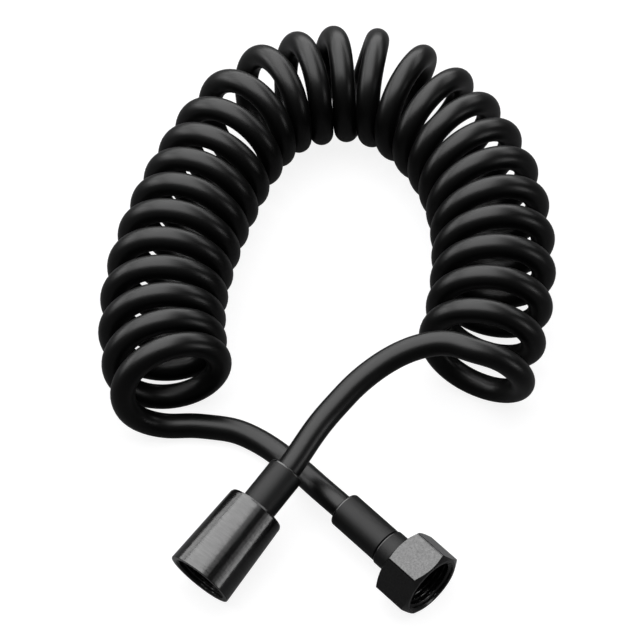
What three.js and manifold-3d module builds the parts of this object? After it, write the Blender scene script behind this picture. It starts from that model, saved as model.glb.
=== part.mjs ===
// A coiled shower hose lying on a table, with a swivelling hexagon nut on one end and a swivelling
// cone nut on the other. Millimetres, +Z up, +Y away from the viewer, the table at z = 0.
// The curly stretch is drawn as one fat tube of the coil's outer diameter, bent into an arch.
import * as THREE from "three";
import { mergeVertices } from "three/addons/utils/BufferGeometryUtils.js";
import Module from "manifold-3d";

const wasm = await Module();
wasm.setup();

// Fits
const clearance = 0.3; // between two pieces that touch or turn on each other
const past = 1; // by which a cutting tool runs past the face that it cuts

// Hose
const hoseDiameter = 9;
const hoseSides = 12;
const hoseStep = 10; // length of one straight piece of the tube
const coilMeanRadius = 18.1; // from the coil's axis to the hose's own centre line
const coilSides = 24;
const coilStep = 12;
const coilSetbackHexEnd = 1.4; // the coil's solid starts this far along its route
const coilSetbackConeEnd = 0.5;

// Thread of both nuts, a half-inch pipe thread drawn at its inner diameter
const threadInnerDiameter = 18.6;
const threadOuterDiameter = 21;
const rearWall = 3.6; // from the shoulder behind the thread to the collar
const reliefLength = 1.8; // plain groove at the thread's inner end

// Hexagon nut
const hexWall = 1.5; // at the middle of a flat
const hexAcrossFlats = threadOuterDiameter + 2 * hexWall; // 24
const hexFaceDiameter = hexAcrossFlats - 1; // flat ring left by the corner chamfer
const hexChamferAngle = 30;
const hexSocketDepth = 11.2; // from the mouth to the shoulder that the insert's flange bears on
const hexNutLength = hexSocketDepth + rearWall;

// Cone nut
const coneWall = 1.75; // at the mouth
const coneMouthDiameter = threadOuterDiameter + 2 * coneWall; // 24.5
const coneTaper = 2.8;
const coneTailDiameter = coneMouthDiameter - coneTaper;
const coneSocketDepth = 13.7;
const coneSkirt = 14.7; // that covers most of the collar and the start of the hose
const coneNutLength = coneSocketDepth + rearWall + coneSkirt;
const coneEdge = 0.6; // rounding of the outer edges

// Insert, the same in both ends: flange, neck and barbed stem, bored through
const flangeDiameter = threadInnerDiameter - 0.8;
const flangeThickness = 1.6;
const neckDiameter = 11.2;
const neckLength = 9.2;
const stemDiameter = 5.2;
const barbDiameter = 6.4;
const barbPitch = 3;
const barbCount = 5;
const barbLand = 0.5;
const barbGap = 0.4; // plain stem between two barbs
const barbStart = 1; // plain stem before the first barb
const stemEnd = 2; // plain stem after the last one
const insertBore = 4;

// Washer in front of each flange
const washerDiameter = threadInnerDiameter - 2 * clearance;
const washerHole = 10;
const washerThickness = 2.2;

// Collar and sleeve behind each nut
const neckHole = neckDiameter + 2 * clearance; // through the hexagon nut's rear wall and the collar
const collarWall = 1.1;
const collarDiameter = neckHole + 2 * collarWall; // 14
const collarLength = 6.8;
const sleeveWall = 1.8;
const sleeveDiameter = hoseDiameter + 2 * (clearance + sleeveWall); // 13.2
const hexSleeveLength = 21.2;
const coneSleeveLength = 24.7;
const sleeveRounding = 0.8;

// Layout on the table
const middle = [0.01, -0.85]; // the point of this layout under the middle of the bounding box
const hexMouth = [34.9, -115.6]; // centre of the hexagon nut's mouth, seen from above
const hexHeading = 43.8; // degrees that the hose leaves the mouth to the left of +Y
const coneMouth = [-45.3, -112.6];
const coneHeading = -38.8;
const coneRise = 12.5; // degrees that the hose climbs from the cone nut

// Route of the coil's axis, seen from above, from the hexagon nut's end to the cone nut's end
const coilRoute = [
  [-54.9, -41.2],
  [-60.3, -3.3],
  [-52.5, 34.9],
  [-38.3, 70.0],
  [-21.0, 91.6],
  [3.4, 100.0],
  [27.7, 93.2],
  [49.9, 66.8],
  [60.3, 24.8],
  [50.1, -36.4],
];
// Routes of the two free stretches, from the coil to the fittings
const hexTailRoute = [
  [-64.8, -46.2, 8.2],
  [-57.5, -45.0, 5.0],
  [-50.5, -44.6, 4.6],
  [-42.0, -45.3, 4.5],
  [-34.0, -46.9, 4.5],
  [-27.9, -49.8, 4.5],
  [-22.0, -53.8, 4.6],
  [-16.0, -59.3, 5.3],
  [-10.4, -65.7, 7.3],
  [-4.6, -73.4, 10.0],
];
const coneTailRoute = [
  [34.5, -33.0, 39.2],
  [25.8, -35.4, 37.8],
  [20.1, -38.0, 36.3],
  [14.2, -41.7, 34.6],
  [8.3, -46.4, 32.6],
  [3.0, -51.6, 30.4],
  [-1.4, -56.3, 28.6],
  [-5.6, -61.6, 26.9],
];

const roundSegments = 48;
const insertSegments = 32;
const coilOuterRadius = coilMeanRadius + hoseDiameter / 2;
const hoseSocketDiameter = barbDiameter + 2 * clearance;
const insertLength = neckLength + barbCount * barbPitch + stemEnd;

const surface = (color, roughness, metalness) =>
  new THREE.MeshStandardMaterial({ color, roughness, metalness });
const hoseBlack = surface(0x161616, 0.35, 0);
const sleeveBlack = surface(0x242424, 0.5, 0);
const platedBlack = surface(0x3a3a3c, 0.2, 1);
const insertBrass = surface(0xb08d4f, 0.35, 1);
const washerRubber = surface(0x1c1c1c, 0.8, 0);

// Solids and booleans

function toSolid(geometry) {
  const bare = geometry.index ? geometry.toNonIndexed() : geometry.clone();
  bare.deleteAttribute("normal");
  bare.deleteAttribute("uv");
  const merged = mergeVertices(bare, 1e-4);
  return new wasm.Manifold(
    new wasm.Mesh({
      numProp: 3,
      vertProperties: merged.attributes.position.array,
      triVerts: new Uint32Array(merged.index.array),
    }),
  );
}

function toGeometry(solid) {
  const mesh = solid.getMesh();
  const geometry = new THREE.BufferGeometry();
  geometry.setAttribute("position", new THREE.BufferAttribute(mesh.vertProperties, 3));
  geometry.setIndex(new THREE.BufferAttribute(mesh.triVerts, 1));
  return geometry;
}

// A body turned about +Y from a closed outline of [radius, distance along the axis] points.
function turned(outline, segments = roundSegments, startAngle = 0) {
  const points = outline.map(([radius, along]) => new THREE.Vector2(radius, along));
  points.push(points[0].clone());
  const area = points.slice(1).reduce((sum, p, i) => sum + points[i].cross(p), 0);
  if (area < 0) points.reverse();
  return new THREE.LatheGeometry(points, segments, startAngle, 2 * Math.PI);
}

// A tube along a curve, with flat ends.
function tubeAlong(curve, radius, sides, step) {
  const ring = new THREE.Shape();
  for (let i = 0; i < sides; i++) {
    const angle = (2 * Math.PI * i) / sides;
    const corner = [radius * Math.cos(angle), radius * Math.sin(angle)];
    if (i === 0) ring.moveTo(...corner);
    else ring.lineTo(...corner);
  }
  return new THREE.ExtrudeGeometry(ring, {
    steps: Math.max(4, Math.round(curve.getLength() / step)),
    bevelEnabled: false,
    extrudePath: curve,
  });
}

// The stretch of a curve between two lengths along it.
class Stretch extends THREE.Curve {
  constructor(whole, from, to) {
    super();
    Object.assign(this, { whole, from, to });
  }
  getPoint(t, target = new THREE.Vector3()) {
    const along = this.from + (this.to - this.from) * t;
    return this.whole.getPointAt(along / this.whole.getLength(), target);
  }
}

// Fittings, each in a group whose +Y runs from the nut's mouth to the hose and whose +Z is up

const flangeFront = (socketDepth) => socketDepth - clearance - flangeThickness;
const collarFront = (socketDepth) => socketDepth + rearWall + clearance;

// The threaded socket that both nuts share: lead-in, thread, relief groove, shoulder and rear hole.
function socketTool(socketDepth, rearHole, length) {
  const thread = threadInnerDiameter / 2;
  const crest = threadOuterDiameter / 2;
  const leadIn = crest - thread;
  return turned([
    [0, -past],
    [crest + past, -past],
    [thread, leadIn],
    [thread, socketDepth - reliefLength - leadIn],
    [crest, socketDepth - reliefLength],
    [crest, socketDepth],
    [rearHole / 2, socketDepth],
    [rearHole / 2, length + past],
    [0, length + past],
  ]);
}

function hexNut() {
  const corner = hexAcrossFlats / Math.sqrt(3);
  const face = hexFaceDiameter / 2;
  const slope = Math.tan((hexChamferAngle * Math.PI) / 180);
  const chamfer = (corner - face) * slope;
  const prism = turned(
    [
      [0, 0],
      [corner, 0],
      [corner, hexNutLength],
      [0, hexNutLength],
    ],
    6,
    Math.PI / 6,
  );
  const chamfered = turned([
    [0, 0],
    [face, 0],
    [corner, chamfer],
    [corner + past, chamfer],
    [corner + past, hexNutLength - chamfer],
    [corner, hexNutLength - chamfer],
    [face, hexNutLength],
    [0, hexNutLength],
  ]);
  const body = toSolid(prism).intersect(toSolid(chamfered));
  const socket = toSolid(socketTool(hexSocketDepth, neckHole, hexNutLength));
  return toGeometry(body.subtract(socket));
}

// The cone nut's outside, from the middle of its mouth to the middle of its tail, with both edges
// rounded by a quarter circle in three facets.
function coneOutline() {
  const quarter = [0, 1, 2, 3].map((i) => (i * Math.PI) / 6);
  const round = (radius, along, side) =>
    quarter.map((angle) => [
      radius - coneEdge * (1 - Math.sin(angle)),
      along + side * coneEdge * (1 - Math.cos(angle)),
    ]);
  const mouthEdge = round(coneMouthDiameter / 2, 0, 1);
  const tailEdge = round(coneTailDiameter / 2, coneNutLength, -1).reverse();
  return [[0, 0], ...mouthEdge, ...tailEdge, [0, coneNutLength]];
}

function coneNut() {
  const rearHole = collarDiameter + 2 * clearance;
  const socket = toSolid(socketTool(coneSocketDepth, rearHole, coneNutLength));
  return toGeometry(toSolid(turned(coneOutline())).subtract(socket));
}

// Flange, neck and a stem with saw-tooth barbs that point back at the flange.
function insertOutline() {
  const stem = stemDiameter / 2;
  const barb = barbDiameter / 2;
  const outline = [
    [insertBore / 2, 0],
    [flangeDiameter / 2, 0],
    [flangeDiameter / 2, flangeThickness],
    [neckDiameter / 2, flangeThickness],
    [neckDiameter / 2, neckLength],
    [stem, neckLength],
  ];
  for (let i = 0; i < barbCount; i++) {
    const start = neckLength + barbStart + i * barbPitch;
    outline.push([stem, start], [barb, start], [barb, start + barbLand]);
    outline.push([stem, start + barbPitch - barbGap]);
  }
  outline.push([stem, insertLength], [insertBore / 2, insertLength]);
  return outline;
}

const ringOutline = (outer, inner, from, to) => [
  [inner / 2, from],
  [outer / 2, from],
  [outer / 2, to],
  [inner / 2, to],
];

// The sleeve's far edge is rounded where the hose comes out of it.
function sleeveOutline(length) {
  const outer = sleeveDiameter / 2;
  const inner = hoseDiameter / 2 + clearance;
  const outline = [
    [inner, 0],
    [outer, 0],
  ];
  for (let i = 0; i <= 4; i++) {
    const angle = (i * Math.PI) / 8;
    outline.push([
      outer - sleeveRounding * (1 - Math.cos(angle)),
      length - sleeveRounding * (1 - Math.sin(angle)),
    ]);
  }
  outline.push([inner, length]);
  return outline;
}

// One end of the hose: its five pieces in place along the group's +Y.
function fitting(name, nutGeometry, socketDepth, sleeveLength) {
  const group = new THREE.Group();
  const add = (part, geometry, material) => {
    const mesh = new THREE.Mesh(geometry, material);
    mesh.name = part;
    group.add(mesh);
    return mesh;
  };
  const flange = flangeFront(socketDepth);
  const collar = collarFront(socketDepth);
  add(`${name}_nut`, nutGeometry, platedBlack);
  add(`${name}_end_insert`, turned(insertOutline(), insertSegments), insertBrass).position.y = flange;
  const washer = ringOutline(washerDiameter, washerHole, -washerThickness, 0);
  add(`${name}_end_washer`, turned(washer), washerRubber).position.y = flange - clearance;
  const ring = ringOutline(collarDiameter, neckHole, 0, collarLength);
  add(`${name}_end_collar`, turned(ring), sleeveBlack).position.y = collar;
  const sleeve = sleeveOutline(sleeveLength);
  add(`${name}_end_sleeve`, turned(sleeve), sleeveBlack).position.y =
    collar + collarLength + clearance;
  return group;
}

// Where the hose butts on the insert's neck, and where the sleeve ends, along a fitting's +Y
const hoseButt = (socketDepth) => flangeFront(socketDepth) + neckLength + clearance;
const sleeveEnd = (socketDepth, sleeveLength) =>
  collarFront(socketDepth) + collarLength + clearance + sleeveLength;

const hexFitting = fitting("hex", hexNut(), hexSocketDepth, hexSleeveLength);
hexFitting.position.set(...hexMouth, hexAcrossFlats / 2);
hexFitting.rotation.set(0, 0, THREE.MathUtils.degToRad(hexHeading), "ZXY");

const coneFitting = fitting("cone", coneNut(), coneSocketDepth, coneSleeveLength);
const coneTilt = THREE.MathUtils.degToRad(coneRise);
// The cone nut rests on the lowest point of its tilted outline.
const coneRestHeight = Math.max(
  ...coneOutline().map(
    ([radius, along]) => radius * Math.cos(coneTilt) - along * Math.sin(coneTilt),
  ),
);
coneFitting.position.set(...coneMouth, coneRestHeight);
coneFitting.rotation.set(coneTilt, 0, THREE.MathUtils.degToRad(coneHeading), "ZXY");

// A free stretch of hose: along its route, then straight down the fitting's axis onto the barbs,
// where its end is opened to the barbs' diameter.
function hoseTail(name, route, fittingGroup, socketDepth, sleeveLength, coilSolid) {
  fittingGroup.updateMatrixWorld(true);
  const butt = hoseButt(socketDepth);
  const end = sleeveEnd(socketDepth, sleeveLength);
  const onAxis = (along) => new THREE.Vector3(0, along, 0).applyMatrix4(fittingGroup.matrixWorld);
  const inSleeve = [end + past, (2 * end + butt) / 3, (end + 2 * butt) / 3, butt].map(onAxis);
  const curve = new THREE.CatmullRomCurve3([
    ...route.map((point) => new THREE.Vector3(...point)),
    ...inSleeve,
  ]);
  const tube = toSolid(tubeAlong(curve, hoseDiameter / 2, hoseSides, hoseStep));
  const insertEnd = flangeFront(socketDepth) + insertLength;
  const socket = turned(
    ringOutline(hoseSocketDiameter, 0, butt - past, insertEnd + clearance),
  ).applyMatrix4(fittingGroup.matrixWorld);
  const solid = tube.subtract(toSolid(socket)).subtract(coilSolid);
  const mesh = new THREE.Mesh(toGeometry(solid), hoseBlack);
  mesh.name = name;
  return mesh;
}

const coilAxis = new THREE.CatmullRomCurve3(
  coilRoute.map(([x, y]) => new THREE.Vector3(x, y, coilOuterRadius)),
);
const coilStretch = (extra) =>
  new Stretch(
    coilAxis,
    coilSetbackHexEnd - extra,
    coilAxis.getLength() - coilSetbackConeEnd + extra,
  );
const coil = new THREE.Mesh(
  tubeAlong(coilStretch(0), coilOuterRadius, coilSides, coilStep),
  hoseBlack,
);
coil.name = "hose_coil";
// The coil grown by the clearance: each tail starts where it leaves this.
const coilRoom = toSolid(
  tubeAlong(coilStretch(clearance), coilOuterRadius + clearance, coilSides, coilStep),
);

const hose = new THREE.Group();
hose.add(
  coil,
  hoseTail("hose_tail_hex_end", hexTailRoute, hexFitting, hexSocketDepth, hexSleeveLength, coilRoom),
  hoseTail("hose_tail_cone_end", coneTailRoute, coneFitting, coneSocketDepth, coneSleeveLength, coilRoom),
  hexFitting,
  coneFitting,
);
hose.position.set(-middle[0], -middle[1], 0);

export default hose;
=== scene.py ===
import bpy
import numpy as np
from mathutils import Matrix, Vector


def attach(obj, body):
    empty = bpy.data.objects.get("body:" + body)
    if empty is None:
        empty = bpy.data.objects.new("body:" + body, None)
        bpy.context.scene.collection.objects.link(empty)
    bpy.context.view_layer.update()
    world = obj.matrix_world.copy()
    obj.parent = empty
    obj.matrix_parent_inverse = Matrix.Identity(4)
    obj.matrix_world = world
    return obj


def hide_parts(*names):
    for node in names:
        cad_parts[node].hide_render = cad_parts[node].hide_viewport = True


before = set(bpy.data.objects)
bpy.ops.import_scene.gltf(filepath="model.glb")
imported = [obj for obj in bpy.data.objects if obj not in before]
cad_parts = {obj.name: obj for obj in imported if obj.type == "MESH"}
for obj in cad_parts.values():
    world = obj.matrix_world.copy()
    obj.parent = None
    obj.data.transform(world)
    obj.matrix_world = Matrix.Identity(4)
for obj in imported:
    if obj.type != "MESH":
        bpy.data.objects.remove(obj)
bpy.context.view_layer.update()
mm = 0.001
fullTurn = 2 * np.pi
upwards = np.array([0.0, 0.0, 1.0])
# From the layout's own zero to the middle of the object, as the model has it
layoutShift = np.array([-0.01, 0.85, 0.0])

print("camera")
cameraLook = {
    "target": (-3.61, 6.05, 0.0),
    "distance": 1088.0,
    "elevation": 54.9,
    "focalLength": 164.64,
    "sensorWidth": 36.0,
}


def makeCamera(look):
    lift = np.radians(look["elevation"])
    back = np.array([0.0, -np.cos(lift), np.sin(lift)])
    data = bpy.data.cameras.new("camera")
    data.lens = look["focalLength"]
    data.sensor_width = look["sensorWidth"]
    data.clip_start, data.clip_end = 0.05, 20.0
    made = bpy.data.objects.new("camera", data)
    bpy.context.scene.collection.objects.link(made)
    made.location = Vector((np.array(look["target"]) + look["distance"] * back) * mm)
    made.rotation_mode = "QUATERNION"
    made.rotation_quaternion = Vector(-back).to_track_quat("-Z", "Y")
    bpy.context.scene.camera = made


makeCamera(cameraLook)


def unit(vectors):
    return vectors / np.linalg.norm(vectors, axis=-1, keepdims=True)


def meshObject(name, points, faces, sharpAngle=32.0):
    mesh = bpy.data.meshes.new(name)
    mesh.from_pydata(points.reshape(-1, 3) * mm, [], faces)
    mesh.validate()
    mesh.shade_smooth()
    mesh.set_sharp_from_angle(angle=np.radians(sharpAngle))
    made = bpy.data.objects.new(name, mesh)
    bpy.context.scene.collection.objects.link(made)
    return made


# Quads over a grid of points whose columns close into rings. The rows close too, or else the first
# and the last ring get a flat cap each.
def gridFaces(rows, columns, rowsClose):
    row = np.arange(rows if rowsClose else rows - 1)[:, None]
    column = np.arange(columns)[None, :]
    nextRow, nextColumn = (row + 1) % rows, (column + 1) % columns
    corners = [
        row * columns + column,
        row * columns + nextColumn,
        nextRow * columns + nextColumn,
        nextRow * columns + column,
    ]
    faces = np.stack(corners, axis=-1).reshape(-1, 4).tolist()
    if not rowsClose:
        ring = np.arange(columns)
        faces += [ring[::-1].tolist(), (ring + (rows - 1) * columns).tolist()]
    return faces


# A cubic spline through points at given knots, twice smooth, with the same cubic on both sides of
# the second and the last but one knot. Gives the positions at the wanted knots.
def splineThrough(knots, points, wanted):
    knots, points = np.asarray(knots, float), np.asarray(points, float)
    count = len(knots)
    step = np.diff(knots)
    slope = np.diff(points, axis=0) / step[:, None]
    matrix = np.zeros((count, count))
    right = np.zeros(points.shape)
    inner = np.arange(1, count - 1)
    matrix[inner, inner - 1] = step[:-1]
    matrix[inner, inner] = 2 * (step[:-1] + step[1:])
    matrix[inner, inner + 1] = step[1:]
    right[1:-1] = 6 * np.diff(slope, axis=0)
    matrix[0, :3] = step[1], -step[0] - step[1], step[0]
    matrix[-1, -3:] = step[-1], -step[-1] - step[-2], step[-2]
    bend = np.linalg.solve(matrix, right)
    at = np.clip(np.searchsorted(knots, wanted, side="right") - 1, 0, count - 2)
    width = step[at][:, None]
    after = (np.asarray(wanted) - knots[at])[:, None]
    before = width - after
    return (
        bend[at] * before**3 / (6 * width)
        + bend[at + 1] * after**3 / (6 * width)
        + (points[at] / width - bend[at] * width / 6) * before
        + (points[at + 1] / width - bend[at + 1] * width / 6) * after
    )


def evenSpline(points, share):
    points = np.asarray(points, float)
    flat = points[:, None] if points.ndim == 1 else points
    made = splineThrough(np.linspace(0, 1, len(flat)), flat, share)
    return made[:, 0] if points.ndim == 1 else made


def lengthsAlong(points):
    return np.r_[0, np.cumsum(np.linalg.norm(np.diff(points, axis=0), axis=1))]


# Where a nut's mouth is and which way the hose leaves it: the heading turns from +Y towards -X and
# the rise is measured from the table, both in degrees.
def fittingFrame(mouth, heading, rise):
    heading, rise = np.radians(heading), np.radians(rise)
    level = np.cos(rise)
    along = np.array([-np.sin(heading) * level, np.cos(heading) * level, np.sin(rise)])
    side = np.array([np.cos(heading), np.sin(heading), 0.0])
    return {"mouth": np.array(mouth), "along": along, "side": side, "up": np.cross(side, along)}


hexFrame = fittingFrame((34.9, -115.6, 12.0), 43.8, 0.0)
coneFrame = fittingFrame((-45.3, -112.6, 11.83), -38.8, 12.5)
# All lengths in millimetres. A list of fillets has one for each corner of its piece's outline.
clearance = 0.3
insert = {
    "flangeDiameter": 17.8,
    "flangeThickness": 1.6,
    "neckDiameter": 11.2,
    "neckLength": 9.2,
    "stemDiameter": 5.2,
    "barbDiameter": 6.4,
    "barbPitch": 3.0,
    "barbCount": 5,
    "barbLand": 0.5,
    "barbGap": 0.4,
    "barbStart": 1.0,
    "stemEnd": 2.0,
    "bore": 4.0,
    "fillets": [0.2, 0.15, 0.15, 0.3, 0.3, 0],
}
insertLength = insert["neckLength"] + insert["barbCount"] * insert["barbPitch"] + insert["stemEnd"]
washer = {"thickness": 2.2, "hole": 10.0, "diameter": 18.0, "fillets": [0.3, 0.3, 0.3, 0.3]}
# The flank is the ridge's slope in ridge heights per pitch, and the crest is what its flat top
# takes off that. The run-out is how steeply the ridges end towards the relief groove.
thread = {
    "inner": 18.6,
    "outer": 21.0,
    "pitch": 1.814,
    "relief": 1.8,
    "flank": 2.6,
    "crest": 0.15,
    "runOut": 1.2,
    "fillets": [0, 0.15, 0.15, 0],
}
# Behind each nut's shoulder, up to its collar
rearWall = 3.6
hexNut = {
    "acrossFlats": 24.0,
    "length": 14.8,
    "face": 23.0,
    "chamfer": 30.0,
    "socket": 11.2,
    "rearHole": insert["neckDiameter"] + 2 * clearance,
    "sleeveLength": 21.2,
    "cornerRounding": 1.3,
    "flatEdge": 0.06,
    "roll": 2.5,
    "fillets": [0, 0.12, 0.12, 0.12, 0.12, 0.15],
}
collar = {
    "diameter": 14.0,
    "hole": insert["neckDiameter"] + 2 * clearance,
    "length": 6.8,
    "fillets": [0.1, 0.4, 0.4, 0.1],
    "rim": 2,
}
sleeve = {
    "diameter": 13.2,
    "bevelDepth": 0.49,
    "bevelLength": 0.35,
    "fillets": [0.1, 0.08, 0.08, 0.8, 0.1],
    "rim": 3,
}
coneNut = {
    "mouth": 24.5,
    "tail": 21.7,
    "length": 32.0,
    "edge": 0.4,
    "socket": 13.7,
    "rearHole": collar["diameter"] + 2 * clearance,
    "sleeveLength": 24.7,
    "fillets": [0, 0.25, 0.3, 0.08, 0.2],
}


# Distances from a nut's mouth along its axis
def flangeFront(nut):
    return nut["socket"] - clearance - insert["flangeThickness"]


def collarFront(nut):
    return nut["socket"] + rearWall + clearance


def sleeveFront(nut):
    return collarFront(nut) + collar["length"] + clearance


def sleeveEnd(nut):
    return sleeveFront(nut) + nut["sleeveLength"]


def hoseButt(nut):
    return flangeFront(nut) + insert["neckLength"] + clearance


print("hose")
hose = {
    "radius": 4.5,
    "bore": 3.3,
    "coilRadius": 18.1,
    "coilAxis": [
        (-54.9, -41.2),
        (-60.3, -3.3),
        (-52.5, 34.9),
        (-38.3, 70.0),
        (-21.0, 91.6),
        (3.4, 100.0),
        (27.7, 93.2),
        (49.9, 66.8),
        (60.3, 24.8),
        (50.1, -36.4),
    ],
    "turns": 25 + 5 / 12,
    "turnsOnAxis": 25.5,
    "startAngle": -2.576,
    # From the hexagon nut's end to the cone nut's: how densely the turns follow each other, how
    # far they lean along the coil and turn about the upright, in radians, and how much wider they
    # are and how far they stand off the axis to the outside of the arch, in millimetres
    "crowding": [0.05, 0.01, -0.03, 0.04, -0.11, -0.19, 0.04, -0.08, -0.21, -0.07, -0.05, -0.06, -0.33],
    "lean": [0.07, 0.0, 0.03, 0.05, -0.04, -0.08, 0.09],
    "yaw": [-0.06, -0.05, -0.17, -0.08, 0.06, 0.02, -0.10],
    "swell": [0.35, 0.4, 0.0, 0.25, 0.2],
    "drift": [-0.4, 0.0, 0.4, 0.1, 0.3, 0.1, 0.1],
    "hexTail": [
        (-57.5, -45.0, 5.0),
        (-50.5, -44.6, 4.6),
        (-42.0, -45.3, 4.5),
        (-34.0, -46.9, 4.5),
        (-27.9, -49.8, 4.5),
        (-22.0, -53.8, 4.6),
        (-16.0, -59.3, 5.3),
        (-10.4, -65.7, 7.3),
        (-4.6, -73.4, 10.0),
    ],
    "coneTail": [
        (43.0, -33.6, 40.6),
        (34.5, -33.0, 39.2),
        (25.8, -35.4, 37.8),
        (20.1, -38.0, 36.3),
        (14.2, -41.7, 34.6),
        (8.3, -46.4, 32.6),
        (3.0, -51.6, 30.4),
        (-1.4, -56.3, 28.6),
        (-5.6, -61.6, 26.9),
    ],
    "pointsPerTurn": 60,
    "knotsPerTurn": 12,
    "stepInTails": 1.6,
    # The hose leaves each sleeve straight for this length
    "straight": 1.0,
    "turnGap": 0.05,
    "pushes": 60,
    "around": 40,
    "endEdge": 0.25,
    # How many of the route's points the hose's bore goes back from either end
    "boreDepth": 11,
}


# The coil's centre line: a point on the coil's axis, lifted so that every turn rests on the table,
# plus the coil's radius in a direction that turns once per turn. Equal steps of the angle are
# spread along the axis by the crowding, and each turn's plane leans and turns a little.
def coilLine(hose, perTurn):
    share = np.linspace(0, 1, 600)
    axis = evenSpline(hose["coilAxis"], share)
    length = lengthsAlong(axis)
    tangent = unit(np.gradient(axis, share, axis=0, edge_order=2))
    crowding = np.exp(evenSpline(hose["crowding"], share))
    passed = np.r_[0, np.cumsum((crowding[1:] + crowding[:-1]) / 2 * np.diff(length))]
    turn = np.arange(int(round(hose["turns"] * perTurn)) + 1) / perTurn
    u = turn / hose["turnsOnAxis"]
    at = np.interp(u, passed / passed[-1], length)
    centre = np.stack([np.interp(at, length, axis[:, k]) for k in (0, 1)], axis=1)
    ahead = unit(np.stack([np.interp(at, length, tangent[:, k]) for k in (0, 1)], axis=1))
    ahead = np.c_[ahead, 0 * at]
    outwards = np.c_[ahead[:, 1], -ahead[:, 0], 0 * at]
    lean, yaw = evenSpline(hose["lean"], u)[:, None], evenSpline(hose["yaw"], u)[:, None]
    rising = upwards * np.cos(lean) + ahead * np.sin(lean)
    sideways = outwards * np.cos(yaw) + ahead * np.sin(yaw)
    angle = (fullTurn * turn + hose["startAngle"])[:, None]
    radius = (hose["coilRadius"] + evenSpline(hose["swell"], u))[:, None]
    drift = evenSpline(hose["drift"], u)[:, None]
    middle = np.c_[centre + drift * outwards[:, :2], radius * np.cos(lean) + hose["radius"]]
    spoke = np.sin(angle) * sideways + np.cos(angle) * rising
    return middle + radius * spoke, ahead


# Turns that would lie in each other are pushed apart: each point moves half of what it lacks from
# the nearest point one turn on, and the push is smoothed along the hose.
def partTurns(line, perTurn, gap, rounds):
    window = np.arange(perTurn // 2, perTurn * 3 // 2)
    index = np.arange(len(line) - window[-1])[:, None] + window
    rows = np.arange(len(index))
    reach = perTurn // 5
    kernel = np.hanning(2 * reach + 1)
    kernel /= kernel.sum()
    for _ in range(rounds):
        apart = line[index] - line[: len(index), None]
        distance = np.linalg.norm(apart, axis=2)
        nearest = distance.argmin(axis=1)
        close = distance[rows, nearest][:, None]
        lack = np.maximum(0, gap - close) / 2
        push = apart[rows, nearest] / close * lack
        move = np.zeros(line.shape)
        np.add.at(move, rows, -push)
        np.add.at(move, index[rows, nearest], push)
        move = np.stack([np.convolve(move[:, k], kernel, "same") for k in range(3)], axis=1)
        line = line + move
        line[:, 2] = np.maximum(line[:, 2], hose["radius"])
    print("  nearest turns", round(float(close.min()), 2), "mm apart")
    return line


# The whole route: straight inside one fitting, along its tail, through the coil, along the other
# tail and straight into the other fitting.
def hoseRoute(hose):
    perTurn = hose["pointsPerTurn"]
    every = perTurn // hose["knotsPerTurn"]
    coil, coilAhead = coilLine(hose, perTurn)
    coil = partTurns(coil, perTurn, 2 * hose["radius"] + hose["turnGap"], hose["pushes"])

    def inFitting(nut, place):
        at = np.linspace(hoseButt(nut), sleeveEnd(nut) + hose["straight"], 5)[:, None]
        return place["mouth"] + at * place["along"]

    before = np.r_[inFitting(hexNut, hexFrame), np.array(hose["hexTail"])[::-1]]
    after = np.r_[np.array(hose["coneTail"]), inFitting(coneNut, coneFrame)[::-1]]
    sparse = coil[::every]
    knots = np.r_[before, sparse, after]
    along = lengthsAlong(knots)
    inCoil = along[len(before) : len(before) + len(sparse)]

    def evenSteps(start, end):
        return np.linspace(start, end, int((end - start) / hose["stepInTails"]))

    wanted = np.r_[
        evenSteps(0, inCoil[0])[:-1],
        np.interp(np.arange(len(coil)), np.arange(len(sparse)) * every, inCoil),
        evenSteps(inCoil[-1], along[-1])[1:],
    ]
    route = splineThrough(along, knots, wanted)
    route[:, 2] = np.maximum(route[:, 2], hose["radius"])
    reference = [np.interp(wanted, inCoil, coilAhead[::every, k]) for k in (0, 1)]
    return route, np.stack(reference + [0 * wanted], axis=1)


# A round tube: a circle about each point of the route, in the plane square to the route. At both
# ends the radius steps in to the bore, which goes back for the length of the insert's stem.
def hoseTube(hose, route, reference):
    ahead = unit(np.gradient(route, axis=0))
    side = unit(np.cross(ahead, reference))
    other = np.cross(ahead, side)
    depth = hose["boreDepth"]
    last = len(route) - 1
    inwards = np.arange(depth + 1)
    ring = np.r_[inwards[::-1], 0, np.arange(len(route)), last, last - inwards]
    radius = np.full(len(ring), hose["radius"])
    radius[: depth + 1] = hose["bore"]
    radius[-depth - 1 :] = hose["bore"]
    radius[[depth + 1, -depth - 2]] = hose["radius"] - hose["endEdge"]
    angle = np.arange(hose["around"]) * fullTurn / hose["around"]
    angle = angle[:, None]
    around = np.cos(angle) * side[ring][:, None] + np.sin(angle) * other[ring][:, None]
    points = route[ring][:, None] + radius[:, None, None] * around
    return points + layoutShift


route, reference = hoseRoute(hose)
tube = hoseTube(hose, route, reference)
hosePiece = meshObject("hose", tube, gridFaces(len(tube), hose["around"], False), sharpAngle=50)
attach(hosePiece, "hose")
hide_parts("hose_coil", "hose_tail_hex_end", "hose_tail_cone_end")

print("fittings")


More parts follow.
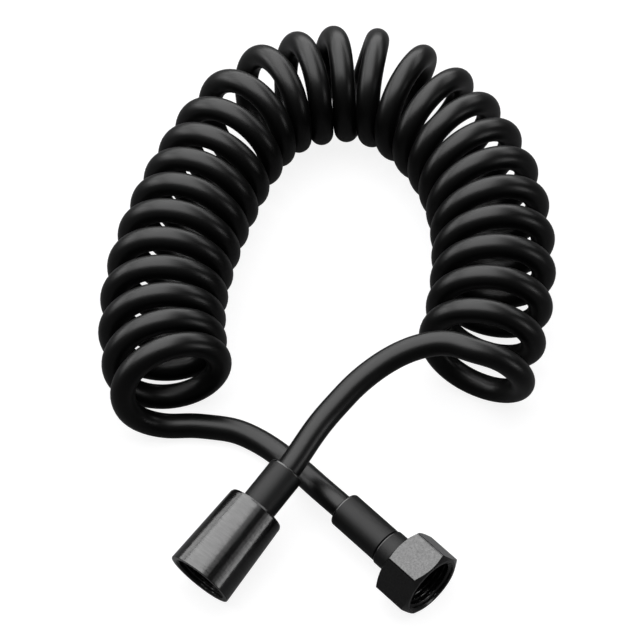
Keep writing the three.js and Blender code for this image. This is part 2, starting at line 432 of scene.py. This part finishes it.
# Rows of an outline with rounded corners: from each corner, a short parabola between the points
# that lie the fillet's reach before and after it, with one more row on either side so that the
# flats stay flat. A rounded corner makes steps + 3 rows. A corner is [radius, distance along the
# axis], the same for all columns or not.
def roundedRows(corners, fillets, steps=4, lead=1.3):
    corners = [np.atleast_2d(np.asarray(corner, float)) for corner in corners]
    share = np.linspace(0, 1, steps + 1)
    rows = []
    count = len(corners)
    for i, (corner, fillet) in enumerate(zip(corners, fillets)):
        if not fillet:
            rows.append(corner)
            continue
        before, after = corners[i - 1] - corner, corners[(i + 1) % count] - corner
        toBefore, toAfter = unit(before), unit(after)
        half = np.arccos(np.clip((toBefore * toAfter).sum(axis=-1, keepdims=True), -1, 1)) / 2
        reach = fillet / np.tan(half)
        start, end = corner + reach * toBefore, corner + reach * toAfter
        rows.append(corner + lead * reach * toBefore)
        rows += [(1 - s) ** 2 * start + 2 * s * (1 - s) * corner + s**2 * end for s in share]
        rows.append(corner + lead * reach * toAfter)
    return rows


# A grid of points about a fitting's axis: each row is [radius, distance from the mouth], for one
# or for all of the angles.
def aboutAxis(rows, angles, place):
    both = np.stack([np.broadcast_to(row, (len(angles), 2)) for row in rows])
    radius, along = both[..., 0:1], both[..., 1:2]
    outwards = np.cos(angles)[:, None] * place["up"] + np.sin(angles)[:, None] * place["side"]
    return place["mouth"] + along * place["along"] + radius * outwards + layoutShift


def turnedPiece(name, rows, place, columns=96):
    angles = np.arange(columns) * fullTurn / columns
    points = aboutAxis(rows, angles, place)
    return meshObject(name, points, gridFaces(len(rows), columns, True))


# The threaded bore from its inner end to the mouth: a rounded saw-tooth of the distance along the
# axis less the angle's share of a pitch, cut away by the relief groove and by the mouth's lead-in.
def threadRows(nut, angles, perPitch=14):
    inner, outer = thread["inner"] / 2, thread["outer"] / 2
    tooth = outer - inner
    start = nut["socket"] - thread["relief"]
    count = int(start / thread["pitch"] * perPitch)
    margin = 0.02
    along = np.linspace(start - margin, margin, count)[:, None]
    phase = (along / thread["pitch"] - angles / fullTurn) % 1
    ridge = np.clip(thread["flank"] * np.abs(phase - 0.5) - thread["crest"], 0, 1)
    radius = inner + tooth * ridge
    radius = np.maximum(radius, outer - thread["runOut"] * (start - along))
    radius = np.maximum(radius, outer - along)
    return [np.stack([r, np.full(len(angles), a)], axis=1) for r, a in zip(radius, along[:, 0])]


def socketRows(nut, angles):
    outer, rear = thread["outer"] / 2, nut["rearHole"] / 2
    shoulder = nut["socket"]
    corners = [
        [rear, nut["length"]],
        [rear, shoulder],
        [outer, shoulder],
        [outer, shoulder - thread["relief"]],
    ]
    return roundedRows(corners, thread["fillets"])[1:-1] + threadRows(nut, angles)


# The faces that follow the chosen rows take the piece's second material.
def takeSecond(made, chosen):
    columns = len(made.data.polygons) // len(chosen)
    made.data.polygons.foreach_set("material_index", np.repeat(chosen, columns).astype(np.int32))


# A nut with its socket. The socket and the flat ring round the mouth are of the second material,
# which is unpolished.
def threadedPiece(name, nut, outside, angles, place):
    rows = outside + socketRows(nut, angles)
    points = aboutAxis(rows, angles, place)
    made = meshObject(name, points, gridFaces(len(rows), len(angles), True))
    row = np.arange(len(rows))
    takeSecond(made, (row >= len(outside) - 1) | (row == 0))
    return made


# The hexagon nut's outline, as each column's radius and angle: an arc of the corner rounding at
# each corner, flats between. Each flat has a column close to either end, so that it stays flat.
def hexColumns(nut, onFlat=14, onCorner=10):
    half, rounding = nut["acrossFlats"] / 2, nut["cornerRounding"]
    centre = (half - rounding) / np.cos(np.pi / 6)
    turn = np.linspace(-np.pi / 6, np.pi / 6, onCorner)
    arc = np.stack([centre + rounding * np.cos(turn), rounding * np.sin(turn)], axis=1)
    width = centre / 2 - nut["flatEdge"]
    flat = np.stack([np.full(onFlat, half), np.linspace(-width, width, onFlat)], axis=1)
    outline = []
    for k in range(6):
        for points, facing in ((arc, (k + 0.5) * np.pi / 3), (flat, (k + 1) * np.pi / 3)):
            turned = np.array([[np.cos(facing), np.sin(facing)], [-np.sin(facing), np.cos(facing)]])
            outline.append(points @ turned)
    outline = np.concatenate(outline)
    angles = np.arctan2(outline[:, 1], outline[:, 0]) - np.radians(nut["roll"])
    return np.linalg.norm(outline, axis=1), angles


def makeHexNut(nut, place):
    radius, angles = hexColumns(nut)
    face = nut["face"] / 2
    cut = (radius - face) * np.tan(np.radians(nut["chamfer"]))
    length = nut["length"]
    corners = [
        [thread["outer"] / 2, 0],
        [face, 0],
        np.stack([radius, cut], axis=1),
        np.stack([radius, length - cut], axis=1),
        [face, length],
        [nut["rearHole"] / 2, length],
    ]
    outside = roundedRows(corners, nut["fillets"])
    return threadedPiece("hex_nut_body", nut, outside, angles, place)


def makeConeNut(nut, place, columns=144):
    angles = np.arange(columns) * fullTurn / columns
    tail = nut["tail"] / 2
    corners = [
        [thread["outer"] / 2, 0],
        [nut["mouth"] / 2, 0],
        [tail, nut["length"] - 2 * nut["edge"]],
        [tail - nut["edge"], nut["length"]],
        [nut["rearHole"] / 2, nut["length"]],
    ]
    outside = roundedRows(corners, nut["fillets"], steps=6)
    return threadedPiece("cone_nut_body", nut, outside, angles, place)


# The rounding of the rear outer edge, the corner that the look calls the rim, takes the piece's
# second material, which is smoother.
def rimmedPiece(name, corners, look, place, steps):
    rows = roundedRows(corners, look["fillets"], steps)
    made = turnedPiece(name, rows, place)
    first = look["rim"] * (steps + 3) + 1
    row = np.arange(len(rows))
    takeSecond(made, (row >= first) & (row < first + steps))
    return made


def makeCollar(name, nut, place):
    inner, outer = collar["hole"] / 2, collar["diameter"] / 2
    start = collarFront(nut)
    end = start + collar["length"]
    corners = [[inner, start], [outer, start], [outer, end], [inner, end]]
    return rimmedPiece(name, corners, collar, place, steps=4)


def makeSleeve(name, nut, place):
    inner, outer = hose["radius"] + clearance, sleeve["diameter"] / 2
    start, end = sleeveFront(nut), sleeveEnd(nut)
    corners = [
        [inner, start],
        [outer - sleeve["bevelDepth"], start],
        [outer, start + sleeve["bevelLength"]],
        [outer, end],
        [inner, end],
    ]
    return rimmedPiece(name, corners, sleeve, place, steps=6)


def makeWasher(name, nut, place):
    inner, outer = washer["hole"] / 2, washer["diameter"] / 2
    end = flangeFront(nut) - clearance
    start = end - washer["thickness"]
    corners = [[inner, start], [outer, start], [outer, end], [inner, end]]
    return turnedPiece(name, roundedRows(corners, washer["fillets"]), place)


def makeInsert(name, nut, place):
    bore, flange = insert["bore"] / 2, insert["flangeDiameter"] / 2
    neck, stem = insert["neckDiameter"] / 2, insert["stemDiameter"] / 2
    barb = insert["barbDiameter"] / 2
    corners = [
        [bore, 0],
        [flange, 0],
        [flange, insert["flangeThickness"]],
        [neck, insert["flangeThickness"]],
        [neck, insert["neckLength"]],
        [stem, insert["neckLength"]],
    ]
    for i in range(insert["barbCount"]):
        start = insert["neckLength"] + insert["barbStart"] + i * insert["barbPitch"]
        corners += [
            [stem, start],
            [barb, start],
            [barb, start + insert["barbLand"]],
            [stem, start + insert["barbPitch"] - insert["barbGap"]],
        ]
    corners += [[stem, insertLength], [bore, insertLength]]
    sharp = len(corners) - len(insert["fillets"])
    fillets = insert["fillets"] + [0] * sharp
    rows = [row + [0, flangeFront(nut)] for row in roundedRows(corners, fillets)]
    return turnedPiece(name, rows, place, columns=64)


def dress(piece, body, node):
    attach(piece, body)
    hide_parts(node)
    return piece


hexNutPiece = dress(makeHexNut(hexNut, hexFrame), "hex_swivel", "hex_nut")
coneNutPiece = dress(makeConeNut(coneNut, coneFrame), "cone_swivel", "cone_nut")
sleevePieces, insertPieces, washerPieces = [], [], []
for end, nut, place in (("hex", hexNut, hexFrame), ("cone", coneNut, coneFrame)):
    node = end + "_end_"
    newCollar = makeCollar(end + "_collar", nut, place)
    newSleeve = makeSleeve(end + "_sleeve", nut, place)
    newInsert = makeInsert(end + "_insert", nut, place)
    newWasher = makeWasher(end + "_washer", nut, place)
    sleevePieces.append(dress(newCollar, "hose", node + "collar"))
    sleevePieces.append(dress(newSleeve, "hose", node + "sleeve"))
    insertPieces.append(dress(newInsert, "hose", node + "insert"))
    washerPieces.append(dress(newWasher, end + "_swivel", node + "washer"))

(route[0] + layoutShift) * mm
(route + layoutShift) * mm

print("materials")


# One socket of a material's nodes. Sums and products of these add their Math nodes.
class Wire:
    def __init__(self, tree, socket=None):
        self.tree = tree
        self.socket = socket

    def node(self, kind, settings=None, sockets=None, output=0):
        made = self.tree.nodes.new(kind)
        for name, value in (settings or {}).items():
            setattr(made, name, value)
        for name, value in (sockets or {}).items():
            if isinstance(value, Wire):
                self.tree.links.new(value.socket, made.inputs[name])
            else:
                made.inputs[name].default_value = value
        return Wire(self.tree, made.outputs[output] if len(made.outputs) else None)

    def math(self, operation, first, second):
        return self.node("ShaderNodeMath", {"operation": operation}, {0: first, 1: second})

    def __add__(self, other):
        return self.math("ADD", self, other)

    __radd__ = __add__

    def __sub__(self, other):
        return self.math("SUBTRACT", self, other)

    def __rsub__(self, other):
        return self.math("SUBTRACT", other, self)

    def __mul__(self, other):
        return self.math("MULTIPLY", self, other)

    __rmul__ = __mul__


def newMaterial(name, build):
    made = bpy.data.materials.new(name)
    made.use_nodes = True
    made.node_tree.nodes.clear()
    start = Wire(made.node_tree)
    start.node("ShaderNodeOutputMaterial", None, {"Surface": build(start)})
    return made


def give(pieces, *made):
    for piece in pieces:
        for material in made:
            piece.data.materials.append(material)


# Where a point is in its object, in metres
def objectPlace(start):
    return start.node("ShaderNodeTexCoord", None, None, 3)


def noise(start, where, scale, detail=3.0, roughness=0.5):
    sockets = {"Vector": where, "Scale": scale, "Detail": detail, "Roughness": roughness}
    return start.node("ShaderNodeTexNoise", None, sockets)


# A grey with a trace of blue
def grey(value, blue=1.02):
    return (value, value, value * blue, 1.0)


# The Mix node's sockets 6 and 7 are its two colours
def mixColors(start, factor, dark, light):
    sockets = {"Factor": factor, 6: dark, 7: light}
    return start.node("ShaderNodeMix", {"data_type": "RGBA"}, sockets, 2)


# A noise from 0 to 1, spread evenly about a middle
def spreadAbout(middle, factor, spread):
    return factor * spread + (middle - spread / 2)


# Paint, plastic or rubber whose colour and gloss come and go with a cloud. The look's bump is the
# strength of the height's relief and its depth is how deep that is, in metres.
def greySurface(start, look, cloud, height=None, more=None):
    roughness = look["roughness"]
    if look["spread"]:
        roughness = spreadAbout(roughness, cloud, look["spread"])
    sockets = {
        "Base Color": mixColors(start, cloud, grey(look["dark"]), grey(look["light"])),
        "Roughness": roughness,
        "Specular IOR Level": look["specular"],
    }
    if height is not None:
        relief = {"Strength": look["bump"], "Distance": look["depth"], "Height": height}
        sockets["Normal"] = start.node("ShaderNodeBump", None, relief)
    return start.node("ShaderNodeBsdfPrincipled", None, {**sockets, **(more or {})})


hoseLook = {
    "dark": 0.0015,
    "light": 0.003,
    "roughness": 0.34,
    "spread": 0.08,
    "specular": 0.115,
    "bump": 0.06,
    "depth": 0.0006,
    "waviness": 0.7,
}


# Smooth black plastic with a slight waviness from drawing and a fine grain
def hoseShader(start):
    where = objectPlace(start)
    cloud = noise(start, where, scale=60.0, detail=4.0)
    grain = noise(start, where, scale=2600.0, detail=2.0)
    wave = noise(start, where, scale=140.0, detail=2.0)
    height = wave * hoseLook["waviness"] + grain * (1 - hoseLook["waviness"])
    return greySurface(start, hoseLook, cloud, height)


sleeveLook = {
    "dark": 0.004,
    "light": 0.007,
    "roughness": 0.45,
    "spread": 0.1,
    "specular": 0.09,
    "bump": 0.12,
    "depth": 0.0003,
}


# Moulded matt plastic, finer and duller than the hose
def sleeveShader(start):
    where = objectPlace(start)
    cloud = noise(start, where, scale=120.0, detail=4.0)
    grain = noise(start, where, scale=5200.0, detail=2.0)
    return greySurface(start, sleeveLook, cloud, grain)


sleeveRimLook = {**sleeveLook, "roughness": 0.18, "specular": 0.28}


# The same plastic where the mould left it smooth
def sleeveRimShader(start):
    cloud = noise(start, objectPlace(start), scale=120.0, detail=4.0)
    return greySurface(start, sleeveRimLook, cloud)


nutLook = {
    "dark": 0.003,
    "light": 0.006,
    "roughness": 0.17,
    "spread": 0.1,
    "specular": 0.19,
    "depth": 0.0004,
    "coat": 0.22,
    "coatRoughness": 0.12,
}
hexNutLook = {**nutLook, "bump": 0.04, "speckle": 1.0}
coneNutLook = {**nutLook, "bump": 0.4, "speckle": 0.45, "squeeze": 0.1}


# Glossy black coat over a metal nut, whose own gloss comes and goes with the grain
def nutFinish(start, look, where, grain):
    cloud = noise(start, where, scale=260.0, detail=5.0, roughness=0.6)
    coat = {
        "Coat Weight": spreadAbout(look["coat"], grain, look["speckle"]),
        "Coat Roughness": look["coatRoughness"],
    }
    return greySurface(start, look, cloud, grain, coat)


# Speckled like cast metal under its coat
def hexNutShader(start):
    where = objectPlace(start)
    grain = noise(start, where, scale=1300.0, detail=5.0, roughness=0.75)
    return nutFinish(start, hexNutLook, where, grain)


# Turned: the grain is stretched into rings round the nut's axis, by squeezing the distance from it
def coneNutShader(start):
    where = objectPlace(start)
    axis = tuple(float(value) for value in coneFrame["along"])
    squeeze = coneNutLook["squeeze"]
    vector = "ShaderNodeVectorMath"
    ahead = start.node(vector, {"operation": "DOT_PRODUCT"}, {0: where, 1: axis}, 1)
    kept = start.node(vector, {"operation": "SCALE"}, {0: axis, "Scale": ahead * (1 - squeeze)})
    squeezed = start.node(vector, {"operation": "SCALE"}, {0: where, "Scale": squeeze})
    squeezed = start.node(vector, {"operation": "ADD"}, {0: squeezed, 1: kept})
    grain = noise(start, squeezed, scale=1600.0, detail=3.0, roughness=0.7)
    return nutFinish(start, coneNutLook, where, grain)


nutInsideLook = {
    **nutLook,
    "roughness": 0.255,
    "spread": 0.15,
    "specular": 0.25,
    "bump": 0.1,
    "depth": 0.0002,
}


# The same coat where it is thin and unpolished, in the sockets and on the ends
def nutInsideShader(start):
    cloud = noise(start, objectPlace(start), scale=500.0, detail=4.0)
    return greySurface(start, nutInsideLook, cloud, cloud)


insertLook = {
    "dark": (0.24, 0.17, 0.07, 1.0),
    "light": (0.36, 0.27, 0.13, 1.0),
    "roughness": 0.45,
    "spread": 0.2,
}


# Turned brass: fine rings round the axis are too small to show, so a cloud stands for them
def insertShader(start):
    cloud = noise(start, objectPlace(start), scale=300.0, detail=4.0)
    sockets = {
        "Base Color": mixColors(start, cloud, insertLook["dark"], insertLook["light"]),
        "Metallic": 1.0,
        "Roughness": spreadAbout(insertLook["roughness"], cloud, insertLook["spread"]),
    }
    return start.node("ShaderNodeBsdfPrincipled", None, sockets)


washerLook = {
    "dark": 0.010,
    "light": 0.016,
    "roughness": 0.75,
    "spread": 0,
    "specular": 0.5,
    "bump": 0.2,
    "depth": 0.0002,
}


# Dull black rubber
def washerShader(start):
    cloud = noise(start, objectPlace(start), scale=900.0, detail=4.0)
    return greySurface(start, washerLook, cloud, cloud)


sleeveRim = newMaterial("sleeve_rim", sleeveRimShader)
nutInside = newMaterial("nut_inside", nutInsideShader)
give([hosePiece], newMaterial("hose_plastic", hoseShader))
give(sleevePieces, newMaterial("sleeve_plastic", sleeveShader), sleeveRim)
give([hexNutPiece], newMaterial("hex_nut_black", hexNutShader), nutInside)
give([coneNutPiece], newMaterial("cone_nut_black", coneNutShader), nutInside)
give(insertPieces, newMaterial("insert_brass", insertShader))
give(washerPieces, newMaterial("washer_rubber", washerShader))

print("floor and lights")
# The radius in metres, and how far the floor lies under the object in millimetres
stageLook = {
    "radius": 3.0,
    "sides": 96,
    "drop": 0.02,
    "floorColor": 0.28,
    "cameraGlow": 0.87,
    "mirrorGlow": 0.04,
    "world": 0.12,
}


# A round white floor. What the camera sees of it gets a glow that makes it white, and what glossy
# and transmitted rays see of it a little one. These are Light Path's outputs 0, 3 and 6.
def floorShader(start):
    path = "ShaderNodeLightPath"
    seen = start.node(path, None, None, 0)
    mirrored = start.node(path, None, None, 3) + start.node(path, None, None, 6)
    glow = seen * stageLook["cameraGlow"] + mirrored * stageLook["mirrorGlow"]
    diffuse = start.node("ShaderNodeBsdfDiffuse", None, {"Color": grey(stageLook["floorColor"])})
    glow = start.node("ShaderNodeEmission", None, {"Color": (1, 1, 1, 1), "Strength": glow})
    return start.node("ShaderNodeAddShader", None, {0: diffuse, 1: glow})


def makeFloor(look):
    angle = np.arange(look["sides"]) * fullTurn / look["sides"]
    points = np.stack([np.cos(angle), np.sin(angle), 0 * angle], axis=1) * look["radius"] / mm
    points[:, 2] = -look["drop"]
    made = meshObject("floor", points, [list(range(look["sides"]))])
    give([made], newMaterial("floor_white", floorShader))


makeFloor(stageLook)


# A rectangle of light that faces the object, or straight down where it is level, with its centre
# and size in metres. It lights matt surfaces, shows in glossy ones, or both.
def softBox(name, centre, size, strength, level=False, diffuse=True, glossy=True):
    data = bpy.data.lights.new(name, "AREA")
    data.shape = "RECTANGLE"
    data.size, data.size_y = size
    data.energy = strength * np.pi * size[0] * size[1]
    made = bpy.data.objects.new(name, data)
    bpy.context.scene.collection.objects.link(made)
    made.location = centre
    made.rotation_mode = "QUATERNION"
    if not level:
        made.rotation_quaternion = (-Vector(centre)).to_track_quat("-Z", "Y")
    made.visible_diffuse = diffuse
    made.visible_glossy = glossy


softBox("top_light", (-0.27, 0.25, 1.45), (2.07, 1.6), 2.2, level=True, glossy=False)
softBox("top_shine", (-0.72, 0.65, 1.38), (2.05, 2.4), 8.5, level=True, diffuse=False)
softBox("top_rim", (-0.6, 0.6, 1.41), (2.7, 2.6), 3.0, level=True, diffuse=False)
softBox("left_shine", (-2.2, 0.3, 0.8), (1.4, 1.0), 9.0, diffuse=False)
softBox("far_left_shine", (-1.75, 1.45, 0.65), (1.7, 0.9), 6.0, diffuse=False)
softBox("far_shine", (1.6, 1.3, 1.2), (1.6, 1.0), 6.0, diffuse=False)
softBox("back_shine", (0.0, 2.2, 0.9), (2.4, 1.3), 7.0, diffuse=False)
softBox("right_shine", (2.0, -0.9, 0.235), (0.6, 0.46), 10.5, diffuse=False)
softBox("right_glow", (2.0, -0.9, 0.68), (0.6, 0.42), 6.5, diffuse=False)
softBox("right_fade", (2.0, -0.9, 1.2), (0.6, 0.6), 2.5, diffuse=False)

world = bpy.data.worlds.new("studio")
bpy.context.scene.world = world
world.use_nodes = True
background = world.node_tree.nodes["Background"]
background.inputs["Color"].default_value = (1, 1, 1, 1)
background.inputs["Strength"].default_value = stageLook["world"]
bpy.context.scene.view_settings.view_transform = "Standard"

print("done")
